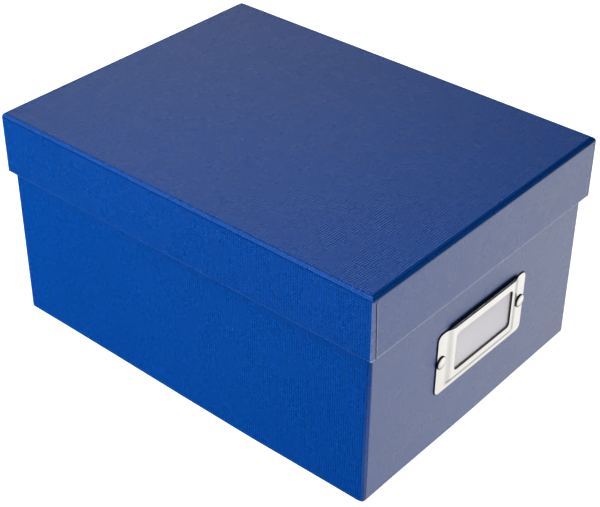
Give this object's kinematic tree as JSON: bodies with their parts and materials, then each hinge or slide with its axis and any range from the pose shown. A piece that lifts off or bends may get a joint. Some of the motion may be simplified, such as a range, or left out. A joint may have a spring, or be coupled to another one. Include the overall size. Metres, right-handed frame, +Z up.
{
  "type": "photo storage box",
  "caption": "Rigid cloth-look paper-covered storage box with a telescoping lift-off lid and a riveted metal label holder with a removable card on one end.",
  "frame": {"origin": "middle of the underside, on the surface the box stands on", "axes": "+Z up; +Y along the length, away from the end with the label holder, which faces -Y; +X to the right when facing the label holder"},
  "size_m": [0.2126, 0.285, 0.145],
  "materials": {
    "cover_paper": "royal-blue covering paper with a fine linen embossing, satin",
    "greyboard": "matt grey chipboard",
    "lining_paper": "matt off-white lining paper",
    "stay_paper": "matt brown gummed paper tape",
    "nickel_plate": "bright nickel-plated steel",
    "card": "smooth blank white card"
  },
  "bodies": {
    "base": {"base_board": "greyboard", "base_wrap": "cover_paper", "base_liner": "lining_paper", "base_bottom_sheet": "cover_paper", "base_corner_stay_front_left": "stay_paper", "base_corner_stay_front_right": "stay_paper", "base_corner_stay_back_left": "stay_paper", "base_corner_stay_back_right": "stay_paper", "label_holder_frame": "nickel_plate", "label_holder_rivets": "nickel_plate", "label_rivet_backs": "nickel_plate"},
    "lid": {"lid_board": "greyboard", "lid_wrap": "cover_paper", "lid_liner": "lining_paper", "lid_corner_stay_front_left": "stay_paper", "lid_corner_stay_front_right": "stay_paper", "lid_corner_stay_back_left": "stay_paper", "lid_corner_stay_back_right": "stay_paper"},
    "card": {"label_card": "card"}
  },
  "joints": [
    {"name": "lid_lift", "type": "slide", "parent": "base", "child": "lid", "axis": [0, 0, 1], "range_m": [0, 0.12]},
    {"name": "card_slide", "type": "slide", "parent": "base", "child": "card", "axis": [0.014, 0, 0.9999], "range_m": [0, 0.039]}
  ]
}
